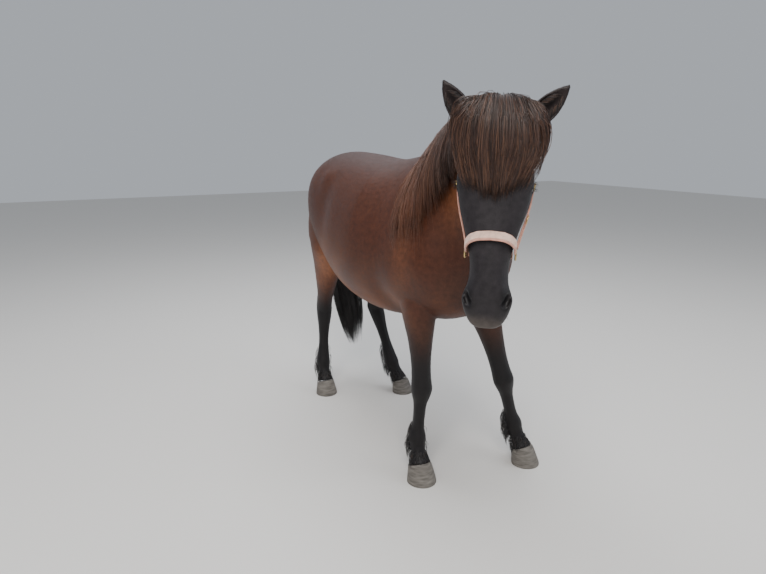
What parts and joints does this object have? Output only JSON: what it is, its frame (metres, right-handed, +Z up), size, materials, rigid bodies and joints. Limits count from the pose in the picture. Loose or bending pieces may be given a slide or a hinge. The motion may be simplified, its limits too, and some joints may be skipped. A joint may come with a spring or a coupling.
{
  "type": "icelandic horse model",
  "caption": "Life-size still model of a bay Icelandic horse standing with its head turned and low, wearing a webbing halter.",
  "frame": {"origin": "on the floor under the middle of the bounding box", "axes": "the horse faces -Y, its left side is on +X and +Z is up"},
  "size_m": [0.7686, 1.9906, 1.5776],
  "materials": {
    "coat_body": "short dark bay summer coat, reddish on flank, elbow and lower neck, with a soft grey sheen along the back",
    "coat_head": "short charcoal coat with a soft bluish sheen, paler whiskery upper lip, dark brown forelock with copper strands",
    "coat_legs": "short black coat with tufts behind the fetlocks",
    "tail_hair": "long black hair",
    "hoof_horn": "dusty grey-beige hoof horn",
    "eye": "wet, near-black brown eye",
    "halter_webbing": "pale salmon-pink woven webbing, the noseband padded",
    "halter_brass": "worn brass"
  },
  "bodies": {
    "root": {"ear_left": "coat_head", "ear_right": "coat_head", "eye_left": "eye", "eye_right": "eye", "foreleg_left": "coat_legs", "foreleg_right": "coat_legs", "halter_cheekpiece_left": "halter_webbing", "halter_cheekpiece_right": "halter_webbing", "halter_chin_strap": "halter_webbing", "halter_crownpiece": "halter_webbing", "halter_noseband": "halter_webbing", "halter_ring_left": "halter_brass", "halter_ring_right": "halter_brass", "halter_throat_strap": "halter_webbing", "head": "coat_head", "hindleg_left": "coat_legs", "hindleg_right": "coat_legs", "hoof_fore_left": "hoof_horn", "hoof_fore_right": "hoof_horn", "hoof_hind_left": "hoof_horn", "hoof_hind_right": "hoof_horn", "neck": "coat_body", "tail": "tail_hair", "torso": "coat_body"}
  },
  "joints": []
}
